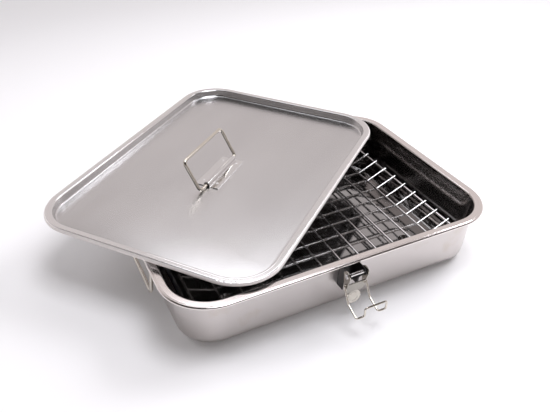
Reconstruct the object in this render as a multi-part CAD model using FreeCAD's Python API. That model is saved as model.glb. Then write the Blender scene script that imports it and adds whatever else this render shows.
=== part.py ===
import FreeCAD, Part
import math
import os

from FreeCAD import Vector, Rotation, Placement

# Stovetop smoker box in stainless steel, in millimetres, +Z up.
# The origin is the centre of the pan's underside. X runs along the long side and -Y is the front.
# The lid lies askew on the rim and the front latch hangs open, as the box stands when it is being filled.

# Pan
pan_length = 380.0
pan_width = 285.0
pan_height = 66.5
pan_corner = 53.0
pan_flange = 9.2
pan_sheet = 1.0
pan_draft = 5.3
pan_floor_radius = 13.0
rim_lip = 2.0
rim_bend = 0.8
inner_bend = 2.0

# Lid, a shallow tray that hangs inside the rim when it is closed
lid_edge_inset = 3.0
lid_side_gap = 1.1
lid_recess = 9.0
lid_sheet = 0.8
lid_lip = 3.4
lid_bend = 2.2
lid_wall_run = 1.6
lid_floor_radius = 3.4
lid_turn = 39.4
lid_tilt = 1.2
lid_place_x = -54.6
lid_place_y = 73.0
lid_prop = 2.8

# Wire bails, the same part on the lid and on both ends of the pan
bail_wire = 4.0
bail_width = 86.0
bail_reach = 39.4
bail_corner = 5.0
bail_clearance = 0.6
bail_floor_gap = 0.35
saddle_length = 66.0
saddle_sheet = 1.0
saddle_foot = 11.0
saddle_bend = 1.0
lid_saddle_offset = -9.0
lid_bail_slip = -4.6
lid_bail_lean = 61.4
side_handle_drop = 9.0
side_bail_lean = 6.0

# Drip tray
tray_side_gap = 1.2
tray_corner_relief = 10.0
tray_sheet = 0.8
tray_lip = 8.0
tray_lip_run = 5.0
tray_bend = 3.0
tray_foot_height = 4.0
tray_foot_radius = 8.0
tray_foot_inset_x = 46.0
tray_foot_inset_y = 40.0
piece_gap = 0.3

# Rack
rack_wire = 2.4
rack_frame_wire = 3.0
rack_rise = 18.4
rack_end_gap = 34.0
rack_side_gap = 28.5
rack_end_run = 25.5
rack_end_rise = 11.0
rack_bend = 6.0
rack_corner = 10.0
long_wire_count = 10
long_wire_margin = 18.6
cross_wire_count = 12
cross_wire_margin = 2.9
weld_sink = 0.15
wire_tip = 1.6
foot_steps = 3.5
foot_side_gap = 11.0
foot_bend = 5.0

# Latches
latch_offset_x = -5.5
latch_half_width = 11.2
latch_top_drop = 4.8
latch_height = 29.0
base_sheet = 1.2
base_depth = 10.0
ear_radius = 3.8
axle_reach = 16.4
axle_drop = 8.5
axle_radius = 1.9
axle_clearance = 0.05
axle_head_radius = 2.8
axle_head_depth = 0.9
axle_head_round = 0.6
lever_sheet = 1.2
lever_gap = 0.35
lever_disc_radius = 5.6
lever_web_drop = 10.0
lever_web_lead = 2.5
lever_web_length = 15.0
lever_web_slope = 4.0
lever_flange_length = 11.0
lever_taper = 5.0
lever_neck = 14.0
lever_cheek_margin = 1.7
tab_radius = 8.4
tab_overlap = 1.4
tab_thickness = 1.2
dimple_radius = 4.2
dimple_depth = 0.5
loop_wire = 2.2
loop_side_gap = 0.3
loop_pin_drop = 12.0
loop_pin_inset = 1.0
loop_first_run = 19.6
loop_first_angle = 61.0
loop_second_run = 17.0
loop_second_angle = 22.0
loop_step = 9.5
loop_hook_rise = 10.0
loop_bend = 2.4
loop_pin_clearance = 0.06

os.makedirs("parts", exist_ok=True)


def rounded_run(points, radii, closed=False):
    """Straight runs joined by tangent arcs, as a list of (kind, data) along the path."""
    count = len(points)
    steps = []
    trims = {}
    for i in range(count):
        if not closed and i in (0, count - 1):
            continue
        before = points[i - 1]
        here = points[i]
        after = points[(i + 1) % count]
        a = (before - here).normalize()
        b = (after - here).normalize()
        half = a.getAngle(b) / 2
        radius = radii[i] if isinstance(radii, (list, tuple)) else radii
        cut = radius / math.tan(half)
        start = here + a * cut
        end = here + b * cut
        centre = here + (a + b).normalize() * (radius / math.sin(half))
        middle = centre + (here - centre).normalize() * radius
        trims[i] = (start, middle, end, centre)
    last = count if closed else count - 1
    for i in range(last):
        j = (i + 1) % count
        run_start = trims[i][2] if i in trims else points[i]
        run_end = trims[j][0] if j in trims else points[j]
        steps.append(("line", (run_start, run_end)))
        if j in trims:
            steps.append(("arc", trims[j]))
    return steps


def edges_of(steps):
    edges = []
    for kind, data in steps:
        if kind == "line":
            edges.append(Part.LineSegment(data[0], data[1]).toShape())
        else:
            edges.append(Part.Arc(data[0], data[1], data[2]).toShape())
    return edges


def round_bar(points, radii, diameter, closed=False):
    """A bent round bar: a cylinder for each run and a revolved disc for each bend."""
    radius = diameter / 2
    pieces = []
    for kind, data in rounded_run(points, radii, closed):
        if kind == "line":
            along = data[1] - data[0]
            if along.Length > 1e-6:
                pieces.append(Part.makeCylinder(radius, along.Length, data[0], along))
            continue
        start, middle, end, centre = data
        axis = (start - centre).cross(end - centre)
        turn = math.degrees((start - centre).getAngle(end - centre))
        disc = Part.Face(Part.Wire(Part.makeCircle(radius, start, (start - centre).cross(axis))))
        pieces.append(disc.revolve(centre, axis, turn))
    bar = pieces[0].multiFuse(pieces[1:]) if len(pieces) > 1 else pieces[0]
    return bar.removeSplitter()


def strip_face(points, radii, thickness):
    """Section of a bent sheet in the YZ plane: a path and its parallel, on the left of travel."""
    def parallel(shift):
        moved = []
        normals = []
        for a, b in zip(points[:-1], points[1:]):
            along = (b - a).normalize()
            normals.append(Vector(0, -along.z, along.y))
        for i, point in enumerate(points):
            if i == 0:
                moved.append(point + normals[0] * shift)
            elif i == len(points) - 1:
                moved.append(point + normals[-1] * shift)
            else:
                n, m = normals[i - 1], normals[i]
                moved.append(point + (n + m) * (shift / (1 + n.dot(m))))
        return moved
    outer = []
    for i in range(1, len(points) - 1):
        a = points[i] - points[i - 1]
        b = points[i + 1] - points[i]
        left_turn = a.y * b.z - a.z * b.y > 0
        radius = radii[i - 1]
        outer.append(radius - thickness if left_turn else radius + thickness)
    near = edges_of(rounded_run(points, [0] + list(radii) + [0]))
    far_points = parallel(thickness)
    far = edges_of(rounded_run(far_points, [0] + outer + [0]))
    ends = [Part.LineSegment(points[0], far_points[0]).toShape(),
            Part.LineSegment(points[-1], far_points[-1]).toShape()]
    return Part.Face(Part.Wire(Part.__sortEdges__(near + far + ends)))


def rounded_plate(length, width, corner, low, high):
    """A flat plate with rounded corners between two heights."""
    x, y = length / 2, width / 2
    points = [Vector(-x, -y, low), Vector(x, -y, low), Vector(x, y, low), Vector(-x, y, low)]
    wire = Part.Wire(Part.__sortEdges__(edges_of(rounded_run(points, corner, closed=True))))
    return Part.Face(wire).extrude(Vector(0, 0, high - low))


def around(section, length, width, corner):
    """Carries a section round a rounded rectangle. The section stands in the YZ plane, y inwards."""
    pieces = []
    for quarter in range(4):
        run, depth = (length, width) if quarter % 2 == 0 else (width, length)
        half = run / 2 - corner
        side = section.copy()
        side.translate(Vector(-half, -depth / 2, 0))
        straight = side.extrude(Vector(2 * half, 0, 0))
        end = section.copy()
        end.translate(Vector(half, -depth / 2, 0))
        bend = end.revolve(Vector(half, -depth / 2 + corner, 0), Vector(0, 0, 1), 90)
        for piece in (straight, bend):
            piece.rotate(Vector(0, 0, 0), Vector(0, 0, 1), 90 * quarter)
            pieces.append(piece)
    return pieces


def pressed_tray(section, floor_inset, length, width, corner, floor_low, floor_high):
    """A pressed sheet tray: the section carried round, closed by its floor."""
    floor = rounded_plate(length - 2 * floor_inset, width - 2 * floor_inset,
                          corner - floor_inset, floor_low, floor_high)
    pieces = around(section, length, width, corner)
    return floor.multiFuse(pieces).removeSplitter()


def section_points(pairs):
    return [Vector(0, y, z) for y, z in pairs]


# The pan's section, from the rim's turned-down edge to the floor
rim_top = pan_height
floor_inset = pan_flange + pan_draft + pan_floor_radius


def make_pan():
    outline = section_points([
        (0, rim_top - rim_lip),
        (0, rim_top),
        (pan_flange + pan_sheet, rim_top),
        (pan_flange + pan_sheet + pan_draft, pan_sheet),
        (floor_inset + pan_sheet, pan_sheet),
    ])
    radii = [rim_bend + pan_sheet, inner_bend, pan_floor_radius - pan_sheet]
    mirrored = strip_face(outline, radii, -pan_sheet)
    return pressed_tray(mirrored, floor_inset + pan_sheet, pan_length, pan_width, pan_corner,
                        0, pan_sheet)


lid_length = pan_length - 2 * lid_edge_inset
lid_width = pan_width - 2 * lid_edge_inset
lid_corner = pan_corner - lid_edge_inset
lid_flange = pan_flange + pan_sheet - lid_edge_inset + lid_side_gap
lid_rest_height = lid_recess + lid_sheet + lid_prop


def lid_placement():
    turn = Rotation(Vector(0, 0, 1), lid_turn)
    tilt = Rotation(Vector(1, 0, 0), lid_tilt)
    place = Vector(lid_place_x, lid_place_y, rim_top + lid_rest_height)
    return Placement(place, tilt.multiply(turn))


def make_lid():
    inset = lid_flange + lid_sheet + lid_wall_run
    outline = section_points([
        (0, -lid_lip),
        (0, 0),
        (lid_flange + lid_sheet, 0),
        (inset, -lid_recess),
        (inset + lid_floor_radius, -lid_recess),
    ])
    radii = [lid_bend + lid_sheet, inner_bend, lid_floor_radius - lid_sheet]
    section = strip_face(outline, radii, -lid_sheet)
    return pressed_tray(section, inset + lid_floor_radius, lid_length, lid_width, lid_corner,
                        -lid_recess - lid_sheet, -lid_recess)


# A saddle lies along X with its feet on z = 0 and the bail's bar through its hump
hump_inner = bail_wire / 2 + bail_clearance
hump_side = hump_inner + saddle_sheet
bail_axis_height = bail_wire / 2 + bail_floor_gap
crown_flat = 0.01


def make_saddle(far_foot):
    """The near foot has its full width; the far foot, towards +Y, is given."""
    rise = bail_axis_height + hump_inner
    side = hump_side
    outline = section_points([
        (-side - saddle_foot, saddle_sheet),
        (-side, saddle_sheet),
        (-side, rise + saddle_sheet),
        (side, rise + saddle_sheet),
        (side, saddle_sheet),
        (side + far_foot, saddle_sheet),
    ])
    hump_outer = hump_side - crown_flat
    radii = [saddle_bend, hump_outer, hump_outer, saddle_bend]
    face = strip_face(outline, radii, -saddle_sheet)
    face.translate(Vector(-saddle_length / 2, 0, 0))
    return face.extrude(Vector(saddle_length, 0, 0))


def make_bail():
    """The bail hangs from the X axis towards -Z, its straight bar centred on the origin."""
    half = bail_width / 2
    points = [Vector(-half, 0, 0), Vector(half, 0, 0), Vector(half, 0, -bail_reach),
              Vector(-half, 0, -bail_reach)]
    return round_bar(points, bail_corner, bail_wire, closed=True)


def lid_point(x, y, z):
    return lid_placement().multVec(Vector(x, y, z))


def lid_handle():
    saddle = make_saddle(saddle_foot)
    saddle.translate(Vector(lid_saddle_offset, 0, -lid_recess))
    bail = make_bail()
    bail.rotate(Vector(0, 0, 0), Vector(1, 0, 0), 90 + lid_bail_lean)
    bail.translate(Vector(lid_saddle_offset + lid_bail_slip, 0, -lid_recess + bail_axis_height))
    for piece in (saddle, bail):
        piece.Placement = lid_placement().multiply(piece.Placement)
    return saddle, bail


# The wall leans in towards the floor, so what is fixed to it leans as well
wall_lean = math.degrees(math.atan2(pan_draft, rim_top - pan_sheet))


def wall_inset(drop):
    """How far the wall's outer face stands in from the rim's edge, at a drop below the rim."""
    lean = math.radians(wall_lean)
    return pan_flange + pan_sheet - pan_sheet / math.cos(lean) + drop * math.tan(lean)


def side_handle(side):
    """The saddle sits on the end wall close under the rim, and the bail hangs from it, leaning out."""
    upper_foot = side_handle_drop - hump_side - pan_sheet - inner_bend
    saddle = make_saddle(upper_foot)
    saddle.rotate(Vector(0, 0, 0), Vector(0, 0, 1), -90)
    saddle.rotate(Vector(0, 0, 0), Vector(0, 1, 0), -90 - wall_lean)
    bail = make_bail()
    bail.rotate(Vector(0, 0, 0), Vector(0, 0, 1), 90)
    bail.rotate(Vector(0, 0, 0), Vector(0, 1, 0), side_bail_lean)
    axis = side_handle_axis()
    foot = Vector(-(pan_length / 2 - wall_inset(side_handle_drop)), 0, rim_top - side_handle_drop)
    saddle.translate(foot)
    bail.translate(axis)
    if side > 0:
        for piece in (saddle, bail):
            piece.rotate(Vector(0, 0, 0), Vector(0, 0, 1), 180)
    return saddle, bail


def side_handle_axis():
    """Centre of the left bail's bar."""
    lean = math.radians(wall_lean)
    foot_x = -(pan_length / 2 - wall_inset(side_handle_drop))
    return Vector(foot_x - bail_axis_height * math.cos(lean), 0,
                  rim_top - side_handle_drop - bail_axis_height * math.sin(lean))


# Drip tray, inside the flat of the pan's floor
tray_inset = floor_inset + tray_side_gap
tray_length = pan_length - 2 * tray_inset
tray_width = pan_width - 2 * tray_inset
tray_corner = pan_corner - tray_inset + tray_corner_relief
tray_floor = pan_sheet + piece_gap + tray_foot_height
tray_top_floor = tray_floor + tray_sheet


def make_drip_tray():
    bottom_inset = tray_lip_run + tray_bend
    outline = section_points([
        (0, tray_floor + tray_lip),
        (tray_lip_run, tray_floor),
        (bottom_inset + tray_bend, tray_floor),
    ])
    section = strip_face(outline, [tray_bend + tray_sheet], tray_sheet)
    tray = pressed_tray(section, bottom_inset + tray_bend, tray_length, tray_width, tray_corner,
                        tray_floor, tray_top_floor)
    x = tray_length / 2 - tray_foot_inset_x
    y = tray_width / 2 - tray_foot_inset_y
    low_radius = tray_foot_radius - tray_foot_height
    for sx in (-1, 1):
        for sy in (-1, 1):
            place = Vector(sx * x, sy * y, tray_floor - tray_foot_height)
            outside = Part.makeCone(low_radius, tray_foot_radius, tray_foot_height, place)
            inside_place = place + Vector(0, 0, tray_sheet)
            inside = Part.makeCone(low_radius, tray_foot_radius, tray_foot_height, inside_place)
            tray = tray.fuse(outside).cut(inside)
    return tray.removeSplitter()


# Rack, measured from the tray that it stands on and from the pan round it
rack_centre = tray_top_floor + rack_rise
rack_half_width = pan_width / 2 - rack_side_gap
end_half = pan_length / 2 - rack_end_gap
flat_half = end_half - rack_end_run
long_wire_pitch = 2 * (rack_half_width - long_wire_margin) / (long_wire_count - 1)
cross_wire_pitch = 2 * (flat_half - cross_wire_margin) / (cross_wire_count - 1)
cross_height = rack_centre + rack_wire - weld_sink
frame_height = rack_centre + (rack_wire - rack_frame_wire) / 2
frame_end_height = rack_centre + rack_end_rise - (rack_wire + rack_frame_wire) / 2 + weld_sink


def make_long_wires():
    wires = []
    tip_half = end_half + wire_tip
    tip_height = rack_centre + rack_end_rise * (1 + wire_tip / rack_end_run)
    first = -(long_wire_count - 1) / 2 * long_wire_pitch
    for i in range(long_wire_count):
        y = first + i * long_wire_pitch
        points = [Vector(-tip_half, y, tip_height), Vector(-flat_half, y, rack_centre),
                  Vector(flat_half, y, rack_centre), Vector(tip_half, y, tip_height)]
        wires.append(round_bar(points, rack_bend, rack_wire))
    return Part.makeCompound(wires)


def make_cross_wires():
    first = -(cross_wire_count - 1) / 2 * cross_wire_pitch
    start_y = -rack_half_width
    wires = []
    for i in range(cross_wire_count):
        start = Vector(first + i * cross_wire_pitch, start_y, cross_height)
        wires.append(Part.makeCylinder(rack_wire / 2, 2 * rack_half_width, start, Vector(0, 1, 0)))
    return Part.makeCompound(wires)


def make_rack_frame():
    points = []
    for sx, sy in ((-1, -1), (1, -1), (1, 1), (-1, 1)):
        inner = Vector(sx * flat_half, sy * rack_half_width, frame_height)
        outer = Vector(sx * end_half, sy * rack_half_width, frame_end_height)
        points += [outer, inner] if sx * sy > 0 else [inner, outer]
    radii = []
    for sx, sy in ((-1, -1), (1, -1), (1, 1), (-1, 1)):
        radii += [rack_corner, rack_bend] if sx * sy > 0 else [rack_bend, rack_corner]
    return round_bar(points, radii, rack_frame_wire, closed=True)


def make_rack_feet():
    feet = []
    foot_y = rack_half_width - foot_side_gap
    top = rack_centre - rack_wire + weld_sink
    low = tray_top_floor + piece_gap
    for sx in (-1, 1):
        x = sx * foot_steps * cross_wire_pitch
        points = [Vector(x, -foot_y, low), Vector(x, -foot_y, top),
                  Vector(x, foot_y, top), Vector(x, foot_y, low)]
        feet.append(round_bar(points, foot_bend, rack_wire))
    return Part.makeCompound(feet)


# Latches are drawn at the front and turned round for the back
wall_face = -(pan_width / 2 - pan_flange)
axle_y = wall_face - axle_reach
axle_z = rim_top - axle_drop
base_side = latch_half_width - lever_sheet - lever_gap
web_top = Vector(0, axle_y - lever_web_lead, axle_z - lever_web_drop)
web_low = web_top + Vector(0, lever_web_slope, -lever_web_length)
loop_side = latch_half_width + loop_side_gap + loop_wire / 2


def prism_x(pairs, low_x, high_x):
    """A prism along X over an outline in the YZ plane."""
    points = [Vector(low_x, y, z) for y, z in pairs]
    wire = Part.makePolygon(points + [points[0]])
    return Part.Face(wire).extrude(Vector(high_x - low_x, 0, 0))


def front_wall_y(z):
    """Where the front wall's outer face is at a height."""
    return -(pan_width / 2 - wall_inset(rim_top - z))


def bar_x(radius, low_x, high_x, y, z):
    return Part.makeCylinder(radius, high_x - low_x, Vector(low_x, y, z), Vector(1, 0, 0))


def make_latch_base():
    """A channel on the wall whose two sides reach out as ears for the axle."""
    top = rim_top - latch_top_drop
    low = top - latch_height
    arm_low = low + base_depth
    arm_top = axle_z + ear_radius
    back_top = front_wall_y(top)
    back_low = front_wall_y(low)
    pieces = [prism_x([(back_top, top), (back_top - base_sheet, top),
                       (back_low - base_sheet, low), (back_low, low)], -base_side, base_side)]
    for sx in (-1, 1):
        low_x, high_x = sorted((sx * base_side, sx * (base_side - base_sheet)))
        side = prism_x([(back_top, top), (back_top - base_depth, top),
                        (back_low - base_depth, low), (back_low, low)], low_x, high_x)
        arm = prism_x([(front_wall_y(arm_top), arm_top), (axle_y, arm_top),
                       (axle_y, axle_z - ear_radius), (front_wall_y(arm_low) - base_depth, arm_low),
                       (front_wall_y(arm_low), arm_low)], low_x, high_x)
        ear = bar_x(ear_radius, low_x, high_x, axle_y, axle_z)
        pieces += [side, arm, ear]
    base = pieces[0].multiFuse(pieces[1:])
    hole = bar_x(axle_radius, -2 * base_side, 2 * base_side, axle_y, axle_z)
    return base.cut(hole).removeSplitter()


def make_latch_axle():
    outer = latch_half_width
    axle = bar_x(axle_radius, -outer, outer, axle_y, axle_z)
    for sx in (-1, 1):
        low_x, high_x = sorted((sx * outer, sx * (outer + axle_head_depth)))
        axle = axle.fuse(bar_x(axle_head_radius, low_x, high_x, axle_y, axle_z))
    rounded = [edge for edge in axle.Edges
               if abs(abs(edge.CenterOfMass.x) - outer - axle_head_depth) < 1e-6]
    return axle.makeFillet(axle_head_round, rounded).removeSplitter()


def along_web(distance):
    """A point down the lever's face from its top edge."""
    return web_top + (web_low - web_top).normalize() * distance


def lever_cheek(low_x, high_x):
    """One side of the lever: a disc round the axle, an arm past the loop's pin and a flange of the face."""
    pin_y, pin_z = loop_pivot()
    flange_end = along_web(lever_flange_length)
    back_y = pin_y + loop_wire / 2 + lever_cheek_margin
    arm = prism_x([(axle_y - lever_disc_radius, axle_z), (web_top.y, web_top.z),
                   (flange_end.y, flange_end.z), (back_y, pin_z - loop_wire),
                   (axle_y + lever_disc_radius, axle_z)], low_x, high_x)
    return arm.fuse(bar_x(lever_disc_radius, low_x, high_x, axle_y, axle_z))


def lever_face():
    """The lever's face: a plate that narrows to a round thumb tab with a dimple."""
    across = Vector(1, 0, 0)
    side = across * latch_half_width
    neck = across * (lever_neck / 2)
    shoulder = along_web(lever_web_length - lever_taper)
    points = [web_top - side, web_top + side, shoulder + side, web_low + neck,
              web_low - neck, shoulder - side]
    inwards = across.cross(web_low - web_top).normalize()
    plate = Part.Face(Part.makePolygon(points + [points[0]])).extrude(inwards * lever_sheet)
    tab_place = Vector(0, web_low.y, web_low.z + tab_overlap - tab_radius)
    tab = Part.makeCylinder(tab_radius, tab_thickness, tab_place, Vector(0, 1, 0))
    ball_radius = (dimple_radius ** 2 + dimple_depth ** 2) / (2 * dimple_depth)
    ball = Part.makeSphere(ball_radius, tab_place + Vector(0, dimple_depth - ball_radius, 0))
    return plate.fuse(tab.cut(ball))


def make_latch_lever():
    """The lever straddles the base's ears and turns on the axle."""
    outer = latch_half_width
    pieces = [lever_face()]
    for sx in (-1, 1):
        low_x, high_x = sorted((sx * outer, sx * (outer - lever_sheet)))
        pieces.append(lever_cheek(low_x, high_x))
    lever = pieces[0].multiFuse(pieces[1:])
    hole = bar_x(axle_radius + axle_clearance, -2 * outer, 2 * outer, axle_y, axle_z)
    pin_y, pin_z = loop_pivot()
    pin_hole = bar_x(loop_wire / 2 + loop_pin_clearance, -2 * outer, 2 * outer, pin_y, pin_z)
    return lever.cut(hole).cut(pin_hole).removeSplitter()


def loop_pivot():
    """Where the loop's bent-in ends turn in the lever's cheeks."""
    return axle_y + loop_pin_inset, axle_z - loop_pin_drop


def make_latch_loop():
    """The wire loop: bent-in ends in the lever's cheeks, legs with a knee, and a stepped hook bar."""
    pin_y, pin_z = loop_pivot()
    first = math.radians(loop_first_angle)
    second = math.radians(loop_second_angle)
    knee_y = pin_y - loop_first_run * math.cos(first)
    knee_z = pin_z - loop_first_run * math.sin(first)
    end_y = knee_y - loop_second_run * math.cos(second)
    end_z = knee_z - loop_second_run * math.sin(second)
    hook_z = end_z + loop_hook_rise
    side = loop_side
    inside = latch_half_width - lever_sheet
    points = [
        Vector(-inside, pin_y, pin_z), Vector(-side, pin_y, pin_z), Vector(-side, knee_y, knee_z),
        Vector(-side, end_y, end_z), Vector(-side + loop_step, end_y, end_z),
        Vector(-side + loop_step, end_y, hook_z), Vector(side + loop_step, end_y, hook_z),
        Vector(side + loop_step, end_y, end_z), Vector(side, end_y, end_z),
        Vector(side, knee_y, knee_z), Vector(side, pin_y, pin_z), Vector(inside, pin_y, pin_z),
    ]
    radii = [loop_bend] * len(points)
    radii[1] = radii[-2] = side - latch_half_width
    return round_bar(points, radii, loop_wire)


def placed_latch(shape, back):
    shape.translate(Vector(latch_offset_x, 0, 0))
    if back:
        shape.rotate(Vector(0, 0, 0), Vector(0, 0, 1), 180)
    return shape


def make_all():
    nodes = {}
    nodes["pan"] = make_pan()
    nodes["drip_tray"] = make_drip_tray()
    nodes["rack_frame"] = make_rack_frame()
    nodes["rack_long_wires"] = make_long_wires()
    nodes["rack_cross_wires"] = make_cross_wires()
    nodes["rack_feet"] = make_rack_feet()
    lid = make_lid()
    lid.Placement = lid_placement()
    nodes["lid"] = lid
    nodes["lid_handle_saddle"], nodes["lid_handle_bail"] = lid_handle()
    nodes["left_handle_saddle"], nodes["left_handle_bail"] = side_handle(-1)
    nodes["right_handle_saddle"], nodes["right_handle_bail"] = side_handle(1)
    for name, back in (("front", False), ("back", True)):
        nodes[name + "_latch_base"] = placed_latch(make_latch_base(), back)
        nodes[name + "_latch_axle"] = placed_latch(make_latch_axle(), back)
        nodes[name + "_latch_lever"] = placed_latch(make_latch_lever(), back)
        nodes[name + "_latch_loop"] = placed_latch(make_latch_loop(), back)
    return nodes


nodes = make_all()
for name, shape in nodes.items():
    shape.exportStep("parts/" + name + ".step")
    print(name, "solids", len(shape.Solids), "valid", shape.isValid(), "volume", round(shape.Volume, 1))
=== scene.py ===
# %% [markdown]
# A stovetop smoker box is a shallow steel pan with a loose lid, a wire rack over a drip tray, swinging wire
# handles and toggle latches. The measured parts come in ready made, and this script gives them their
# finish. It also adds the small marks that pressing, polishing and welding leave on the real thing.

# %% Load the measured parts
import bpy
import math
from mathutils import Euler, Matrix, Vector

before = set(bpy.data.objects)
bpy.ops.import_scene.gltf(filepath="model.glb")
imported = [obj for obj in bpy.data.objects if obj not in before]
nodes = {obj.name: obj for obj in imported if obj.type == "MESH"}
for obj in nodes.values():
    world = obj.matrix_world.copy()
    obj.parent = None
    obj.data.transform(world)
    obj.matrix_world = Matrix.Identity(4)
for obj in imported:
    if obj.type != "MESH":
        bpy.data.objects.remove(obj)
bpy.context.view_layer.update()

# %% [markdown]
# The camera stands at the left front corner, about three quarters of a metre away, and looks down at about
# 35 degrees. Its place and turn are written as plain numbers in metres and degrees, because they are what a
# tripod would give.

# %% Camera
camera_place = Vector((-0.2744, -0.5173, 0.4515))
camera_turn = (55.15, 0.18, -26.18)
camera_lens = 39.41
camera_data = bpy.data.cameras.new("camera")
camera_data.lens = camera_lens
camera_data.sensor_width = 36.0
camera_data.clip_start = 0.01
camera = bpy.data.objects.new("camera", camera_data)
camera.location = camera_place
camera.rotation_euler = Euler([math.radians(angle) for angle in camera_turn])
bpy.context.scene.collection.objects.link(camera)
bpy.context.scene.camera = camera
print("camera lens", camera_lens, "mm")

# %% [markdown]
# Shader maths is easier to read as sums than as a web of boxes. Wire wraps one socket, and each operator on
# it adds one Math node. Finish is a material while it is being made, and its node method adds any other
# node.

# %% Shader helpers
class Wire:
    """One output socket that can be used in sums."""

    def __init__(self, finish, socket):
        self.finish = finish
        self.socket = socket

    def math(self, operation, *others):
        terms = dict(enumerate((self, *others)))
        return self.finish.node("ShaderNodeMath", {"operation": operation}, terms)

    def __add__(self, other):
        return self.math("ADD", other)

    def __sub__(self, other):
        return self.math("SUBTRACT", other)

    def __mul__(self, other):
        return self.math("MULTIPLY", other)

    def __rsub__(self, other):
        return self.math("MULTIPLY_ADD", -1.0, other)

    __radd__ = __add__

    def above(self, low, high):
        """0 below low, 1 above high, and a straight ramp between them."""
        return self.finish.node("ShaderNodeMapRange", {"clamp": True},
                                {"Value": self, "From Min": low, "From Max": high})


class Finish:
    """A material, or the world, while its nodes are being made."""

    def __init__(self, name, owner=None):
        self.owner = owner or bpy.data.materials.new(name)
        self.owner.use_nodes = True
        self.tree = self.owner.node_tree
        if owner is None:
            self.shader = self.tree.nodes["Principled BSDF"]

    def node(self, kind, settings=None, inputs=None, output=0):
        made = self.tree.nodes.new(kind)
        for name, value in (settings or {}).items():
            setattr(made, name, value)
        for name, value in (inputs or {}).items():
            self.feed(made.inputs[name], value)
        return Wire(self, made.outputs[output])

    def feed(self, socket, value):
        if isinstance(value, Wire):
            self.tree.links.new(value.socket, socket)
        else:
            socket.default_value = value

    def mix(self, factor, first, second):
        """A colour between two colours."""
        return self.node("ShaderNodeMix", {"data_type": "RGBA"}, {0: factor, 6: first, 7: second}, 2)

    def noise(self, place, scale, detail):
        return self.node("ShaderNodeTexNoise", {}, {"Vector": place, "Scale": scale, "Detail": detail})

    def dot(self, first, second):
        arrows = {0: first, 1: second}
        return self.node("ShaderNodeVectorMath", {"operation": "DOT_PRODUCT"}, arrows, "Value")

    def object_place(self):
        return self.node("ShaderNodeTexCoord", output="Object")


print("shader helpers ready")

# %% [markdown]
# The box stands in a white sweep, as product pictures do. The floor is one large pale sheet. It catches the
# soft shadow. A little light of its own, for what is seen directly or mirrored, brings it up to paper
# white, and more of it far out hides where the sheet ends.

# %% Floor and backdrop
floor_size = 8.0
floor_drop = 0.0002
floor_rough = 0.9
floor_paper = (0.86, 0.845, 0.845, 1.0)
glow_colour = (0.97, 0.98, 1.0, 1.0)
near_glow = 0.09
middle_glow = 0.45
middle_from, middle_to = 1.0, 3.0
far_glow = 0.50
far_from, far_to = 1.4, 2.8
bpy.ops.object.select_all(action="DESELECT")
bpy.ops.mesh.primitive_plane_add(size=floor_size, location=(0.0, 0.0, -floor_drop))
floor = bpy.context.object
floor.name = "floor"
bpy.ops.object.transform_apply(location=True, rotation=True, scale=True)
floor_finish = Finish("floor_paper")
paper = floor_finish.shader.inputs
floor_finish.feed(paper["Base Color"], floor_paper)
floor_finish.feed(paper["Roughness"], floor_rough)
floor_finish.feed(paper["Specular IOR Level"], 0.0)
floor_finish.feed(paper["Emission Color"], glow_colour)
seen = floor_finish.node("ShaderNodeLightPath", output="Is Camera Ray")
mirrored = floor_finish.node("ShaderNodeLightPath", output="Is Glossy Ray")
ground = floor_finish.object_place()
away = floor_finish.node("ShaderNodeVectorMath", {"operation": "LENGTH"}, {"Vector": ground}, "Value")
outer = away.above(middle_from, middle_to) * middle_glow + away.above(far_from, far_to) * far_glow
glow = outer + near_glow
floor_finish.feed(paper["Emission Strength"], (seen + mirrored) * glow)
floor.data.materials.append(floor_finish.owner)
print("floor", floor_size, "m")

# %% [markdown]
# Steel shows the room it stands in. The far half of this room is a pale wall. The near half, behind the
# camera, has only a dim low wall, and is dark above it. So the lid and the rims look bright, and the inside
# of the pan stays dark. The ceiling is dim all over. Each fades in between two values of how far a
# direction points to the far side, or upward.

# %% World
far_side = (0.44, 0.90, 0.0)
far_wall_from, far_wall_to = -0.18, 0.25
low_wall_light = 0.42
low_wall_from, low_wall_to = 0.25, 0.50
ceiling_shade = 0.85
ceiling_from, ceiling_to = 0.66, 0.82
dark_room = (0.035, 0.029, 0.025, 1.0)
pale_room = (0.73, 0.67, 0.665, 1.0)
backdrop_white = (1.0, 1.0, 1.0, 1.0)
world = bpy.data.worlds.new("studio")
bpy.context.scene.world = world
sky = Finish("studio", world)
direction = sky.node("ShaderNodeTexCoord", output="Generated")
upward = sky.node("ShaderNodeSeparateXYZ", {}, {"Vector": direction}, "Z")
far_wall = sky.dot(direction, far_side).above(far_wall_from, far_wall_to)
low_wall = (1.0 - upward.above(low_wall_from, low_wall_to)) * low_wall_light
ceiling = upward.above(ceiling_from, ceiling_to) * ceiling_shade
brightness = far_wall.math("MAXIMUM", low_wall) * (1.0 - ceiling)
room = sky.mix(brightness, dark_room, pale_room)
seen = sky.node("ShaderNodeLightPath", output="Is Camera Ray")
sky_colour = sky.mix(seen, room, backdrop_white)
sky.feed(sky.tree.nodes["Background"].inputs["Color"], sky_colour)
bpy.context.scene.view_settings.view_transform = "Standard"
print("world ready")

# %% [markdown]
# One large softbox hangs over the front of the box. The right and the left one are there for the floor, and
# set how far the shadow spreads to either side. Steel doesn't mirror these two, because their image would
# spoil it. A weaker one beyond the box gives the soft light along the lid's near edge, and a small one
# gives the glint.

# %% Lamps
lamp_colour = (0.97, 0.98, 1.03)
box_middle = (0.0, 0.0, 0.05)
near_left = (-0.08, -0.05, 0.07)


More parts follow.
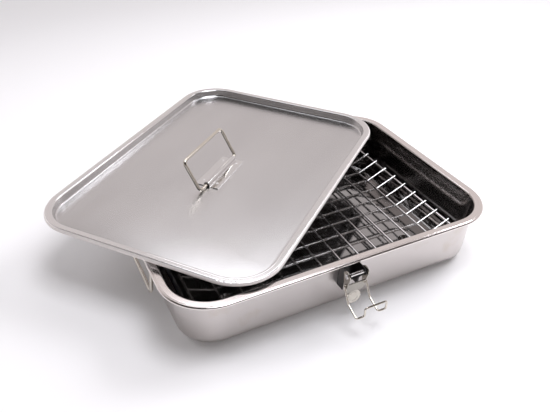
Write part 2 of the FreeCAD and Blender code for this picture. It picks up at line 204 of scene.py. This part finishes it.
def softbox(name, place, aim, width, depth, watts):
    data = bpy.data.lights.new(name, "AREA")
    data.color = lamp_colour
    data.shape = "RECTANGLE"
    data.size = width
    data.size_y = depth
    data.energy = watts
    lamp = bpy.data.objects.new(name, data)
    lamp.location = place
    lamp.rotation_mode = "QUATERNION"
    lamp.rotation_quaternion = (Vector(aim) - Vector(place)).to_track_quat("-Z", "Y")
    bpy.context.scene.collection.objects.link(lamp)
    return lamp


softbox("overhead", (0.15, -0.22, 1.45), box_middle, 0.7, 0.7, 12.5)
for name, place, watts in (("right", (1.0, 0.05, 0.95), 10.0), ("left", (-0.8, 0.55, 1.0), 2.8)):
    floor_lamp = softbox(name, place, box_middle, 0.6, 0.6, watts)
    floor_lamp.visible_glossy = False
softbox("far", (0.20, 0.55, 1.12), near_left, 0.7, 0.45, 1.9)
softbox("glint", (0.90, 0.20, 1.00), box_middle, 0.24, 0.24, 1.1)
print("lamps ready")

# %% [markdown]
# Stainless steel is almost all reflection, so its finish is told by how rough it is. A drawn wall is satin,
# the rims and the wires are bright, and the tray is polished. Fine streaks, smudges and small waves keep
# each from looking like a perfect mirror.
#
# Some marks follow an outline, so they need to know how far inside the outline a place is. For a rounded
# rectangle this is its corner radius, less the distance past the straight sides.

# %% Distances
def across(finish, place):
    """The three sums X, Y and Z of a place."""
    return [finish.node("ShaderNodeSeparateXYZ", {}, {"Vector": place}, axis) for axis in "XYZ"]


def length(first, second):
    """The length of an arrow with these two sides."""
    return (first * first + second * second).math("SQRT")


def edge_distance(finish, place, half_x, half_y, corner):
    """How far inside a rounded rectangle's outline a place is."""
    x, y, _ = across(finish, place)
    past_x = x.math("ABSOLUTE") - (half_x - corner)
    past_y = y.math("ABSOLUTE") - (half_y - corner)
    outside = length(past_x.math("MAXIMUM", 0.0), past_y.math("MAXIMUM", 0.0))
    inside = past_x.math("MAXIMUM", past_y).math("MINIMUM", 0.0)
    return corner - outside - inside


def groove(distance, centre, half_width, depth):
    """The height of a fine groove at one distance."""
    across_it = (distance - centre).math("ABSOLUTE").above(0.0, half_width)
    return (across_it - 1.0) * depth


print("distances ready")

# %% [markdown]
# Every steel starts with streaks and soft waves that move its surface by less than a tenth of a millimetre.
# What a piece adds to that, such as a groove, comes as one more height in metres. Most steels also have
# clouds, which change the colour and the roughness a little.

# %% Steel
wave_scale = 22.0
cloud_scale = 16.0
cloud_dark = 0.96
cloud_light = 1.03
cloud_rough = 0.05
streak_rough = 0.03
cool_tint = (1.0, 0.99, 0.99)
warm_tint = (1.04, 0.98, 0.955)
cream_tint = (1.06, 1.0, 0.90)


def steel_colour(level, tint):
    return (*(level * part for part in tint), 1.0)


class Steel(Finish):
    """A steel finish. Its heights are sums in metres. own is the centre and turn of a piece's own frame."""

    def __init__(self, name, streak_scale, streak_depth, wave_depth, own=None):
        super().__init__(name)
        self.place = self.object_place() if own is None else self.own_place(*own)
        streak_place = self.node("ShaderNodeMapping", {"vector_type": "POINT"},
                                 {"Vector": self.place, "Scale": streak_scale})
        self.streak = self.noise(streak_place, 1.0, 3.0)
        wave = self.noise(self.place, wave_scale, 1.0)
        self.height = self.streak * streak_depth + wave * wave_depth
        self.metal = 1.0

    def own_place(self, centre, turn):
        return self.node("ShaderNodeMapping", {"vector_type": "TEXTURE"},
                         {"Vector": self.object_place(), "Location": centre, "Rotation": turn})

    def cloud(self, level, rough, tint):
        clouds = self.noise(self.place, cloud_scale, 4.0)
        self.rough = rough + (clouds - 0.5) * cloud_rough + (self.streak - 0.5) * streak_rough
        dark = steel_colour(level * cloud_dark, tint)
        light = steel_colour(level * cloud_light, tint)
        self.colour = self.mix(clouds, dark, light)

    def done(self):
        self.feed(self.shader.inputs["Base Color"], self.colour)
        self.feed(self.shader.inputs["Metallic"], self.metal)
        self.feed(self.shader.inputs["Roughness"], self.rough)
        relief = {"Height": self.height, "Strength": 1.0, "Distance": 1.0}
        bump = self.node("ShaderNodeBump", {}, relief)
        self.feed(self.shader.inputs["Normal"], bump)
        return self.owner


print("steel ready")

# %% [markdown]
# The pan is drawn from one sheet. Its rim is polished and a fine line runs along it, where the bead begins.
# The rim's colour is painted paler, a painted sheen. The walls are satin, brushed level all round, with a
# few pale brown heat marks. The inside is smoother, and its colour is painted darker, a painted shade: it
# is the side whose surface faces the middle of the pan.

# %% Pan finish
line_half_width = 0.0006
pan_half = (0.190, 0.1425)
pan_corner = 0.053
rim_top = 0.0665
rim_fade = (0.0030, 0.0022)
# the rim's paler colour is a painted sheen; its polish is the lower roughness
rim_painted_sheen_level = 0.80
rim_polish = 0.16
# the inside's darker colour is painted shade
inside_painted_shade_level = 0.48
inside_polish = 0.15
pan_line_place = 0.0026
pan_line_depth = 0.00010
heat_scale = 34.0
heat_brown = (0.50, 0.42, 0.33, 1.0)
heat_strength = 0.35


def pan_finish():
    finish = Steel("pan_satin", (25.0, 25.0, 1800.0), 0.0000008, 0.00005)
    finish.cloud(0.62, 0.29, warm_tint)
    height = across(finish, finish.place)[2]
    on_rim = height.above(rim_top - rim_fade[0], rim_top - rim_fade[1])
    distance = edge_distance(finish, finish.place, *pan_half, pan_corner)
    line = groove(distance, pan_line_place, line_half_width, pan_line_depth)
    finish.height = finish.height + line * on_rim
    facing = finish.node("ShaderNodeNewGeometry", output="Normal")
    outward = finish.dot(finish.place, facing)
    inside = (0.0 - outward).above(0.01, 0.03)
    finish.rough = finish.rough - on_rim * rim_polish - inside * inside_polish
    # the rim is painted paler here, a painted sheen
    finish.colour = finish.mix(on_rim, finish.colour, steel_colour(rim_painted_sheen_level, warm_tint))
    # the inside is painted darker here, a painted shade
    finish.colour = finish.mix(inside, finish.colour, steel_colour(inside_painted_shade_level, warm_tint))
    heat_mark = finish.noise(finish.place, heat_scale, 4.0).above(0.60, 0.78) * (1.0 - on_rim)
    finish.colour = finish.mix(heat_mark * heat_strength, finish.colour, heat_brown)
    return finish.done()


print("pan", pan_half, "m from its middle to its rim")

# %% [markdown]
# The lid has a frame of its own, because it lies turned and a little tilted. Its panel is very slightly
# crowned: it falls away by about a millimetre and a half towards its wall, which draws the soft bright
# bands along its near edges. Faint pale bands cross it. Its flange is polished with a fine line near the
# wall, and its colour is painted paler, a painted sheen. Its down-turned lip is duller, and is painted
# paler and less metallic, which paints light on it.

# %% Lid finish
lid_turn = math.radians(39.4)
lid_tilt = math.radians(1.2)
lid_centre = (-0.0546, 0.0730, 0.0791)
lid_frame = Matrix.Rotation(lid_tilt, 3, "X") @ Matrix.Rotation(lid_turn, 3, "Z")
lid_euler = tuple(lid_frame.to_euler("XYZ"))
lid_half = (0.187, 0.1395)
lid_corner = 0.050
lid_rough = 0.27
band_levels = (0.62, 0.70)
flange_fade = (-0.0025, -0.0012)
# the flange's paler colour is a painted sheen
flange_painted_sheen_level = 0.80
flange_polish = 0.12
lip_fade = (0.0010, 0.0024)
# the lip's paler colour and lower metallic paint light on it
lip_painted_light_level = 0.90
lip_dullness = 0.25
lip_painted_light_matt = 0.75
lid_wall_foot = 0.0145
lid_line_place = 0.0066
lid_line_depth = 0.00003
crown_band = 0.050
crown_bend = 0.60


def lid_finish():
    finish = Steel("lid_satin", (5.0, 16.0, 16.0), 0.0, 0.000004, (lid_centre, lid_euler))
    distance = edge_distance(finish, finish.place, *lid_half, lid_corner)
    height = across(finish, finish.place)[2]
    on_flange = height.above(*flange_fade)
    on_lip = 1.0 - distance.above(*lip_fade)
    on_panel = distance.math("MAXIMUM", lid_wall_foot)
    fall = (crown_band + lid_wall_foot - on_panel).math("MAXIMUM", 0.0)
    line = groove(distance, lid_line_place, line_half_width, lid_line_depth)
    finish.height = finish.height - fall * fall * crown_bend
    finish.height = finish.height + line * on_flange
    finish.rough = lid_rough - on_flange * flange_polish + on_lip * lip_dullness
    # less metallic on the lip, so that lamps paint light on it
    finish.metal = 1.0 - on_lip * lip_painted_light_matt
    bands = finish.streak.above(0.25, 0.75)
    dark_band, pale_band = (steel_colour(level, cool_tint) for level in band_levels)
    finish.colour = finish.mix(bands, dark_band, pale_band)
    # the flange is painted paler here, a painted sheen
    finish.colour = finish.mix(on_flange, finish.colour, steel_colour(flange_painted_sheen_level, cool_tint))
    # the lip is painted paler here, a painted light
    finish.colour = finish.mix(on_lip, finish.colour, steel_colour(lip_painted_light_level, warm_tint))
    return finish.done()


print("lid", lid_half, "m from its middle to its edge")

# %% [markdown]
# The lid's saddle is spot welded. Each weld leaves a small round dimple, and a table of signs isn't needed
# to repeat it, because taking away the sign of a distance mirrors one dimple to all four places.
#
# The latch's thumb tab is painted brighter than the plate above it, a painted light, and has a pressed ring
# with a small raised dot in its middle. The back latch is the front one turned half round, and the sign of
# Y undoes that turn.

# %% Saddle and lever finishes
weld_radius = 0.0019
weld_depth = 0.00025
weld_x = 0.024
weld_y = 0.0091
saddle_offset = Vector((-0.009, 0.0, -0.009))
saddle_centre = tuple(Vector(lid_centre) + lid_frame @ saddle_offset)
tab_x = 0.0055
tab_z = 0.026
tab_radius = 0.0084
# the tab's brighter colour is a painted light
tab_painted_light_level = 0.60
ring_radius = 0.0060
ring_half_width = 0.0010
ring_depth = 0.0004
dot_radius = 0.0016
dot_height = 0.0003
even_streaks = (300.0, 300.0, 300.0)


def saddle_finish():
    """Feet along X on either side of the hump, with a weld near each end of each foot."""
    own = (saddle_centre, lid_euler)
    finish = Steel("lid_saddle", (30.0, 1800.0, 1800.0), 0.0000002, 0.00003, own)
    finish.cloud(0.76, 0.10, cool_tint)
    x, y, _ = across(finish, finish.place)
    away = length(x.math("ABSOLUTE") - weld_x, y.math("ABSOLUTE") - weld_y)
    dimple = away.above(weld_radius * 0.4, weld_radius) - 1.0
    finish.height = finish.height + dimple * weld_depth
    return finish.done()


def lever_finish():
    finish = Steel("lever_satin", even_streaks, 0.0000010, 0.00004)
    finish.cloud(0.40, 0.20, cream_tint)
    x, y, z = across(finish, finish.place)
    away = length(x * y.math("SIGN") - tab_x, z - tab_z)
    on_tab = 1.0 - away.above(tab_radius - 0.0004, tab_radius + 0.0002)
    ring = groove(away, ring_radius, ring_half_width, ring_depth)
    dot = groove(away, 0.0, dot_radius, dot_height)
    finish.height = finish.height + ring - dot
    # the tab is painted brighter here, a painted light
    finish.colour = finish.mix(on_tab, finish.colour, steel_colour(tab_painted_light_level, cream_tint))
    return finish.done()


print("weld", weld_radius, "m and tab", tab_radius, "m")

# %% [markdown]
# The rest is plain steel that differs only in level, roughness and tint. A word in each part's name chooses
# its finish, and the first word that fits counts.

# %% All finishes
def plain_steel(name, level, rough, wave_depth=0.00002, tint=cool_tint):
    finish = Steel(name, even_streaks, 0.0000010, wave_depth)
    finish.cloud(level, rough, tint)
    return finish.done()


bail_steel = plain_steel("bail_wire", 0.68, 0.08, tint=cream_tint)
finish_by_word = {
    "lid_handle_saddle": saddle_finish(),
    "saddle": plain_steel("side_saddle", 0.58, 0.22),
    "rack": plain_steel("rack_wire", 0.82, 0.13),
    "bail": bail_steel,
    "tray": plain_steel("tray_mirror", 0.40, 0.08, 0.00008),
    # the latch base is painted near black, a painted shade in its channel
    "base": plain_steel("base_shade", 0.05, 0.30),
    "axle": plain_steel("axle_bright", 0.78, 0.12),
    "loop": bail_steel,
    "lever": lever_finish(),
    "pan": pan_finish(),
    "lid": lid_finish(),
}
for name, part in nodes.items():
    fitting = [finish for word, finish in finish_by_word.items() if word in name]
    part.data.materials.clear()
    part.data.materials.append(fitting[0])
print("finishes on", len(nodes), "parts")
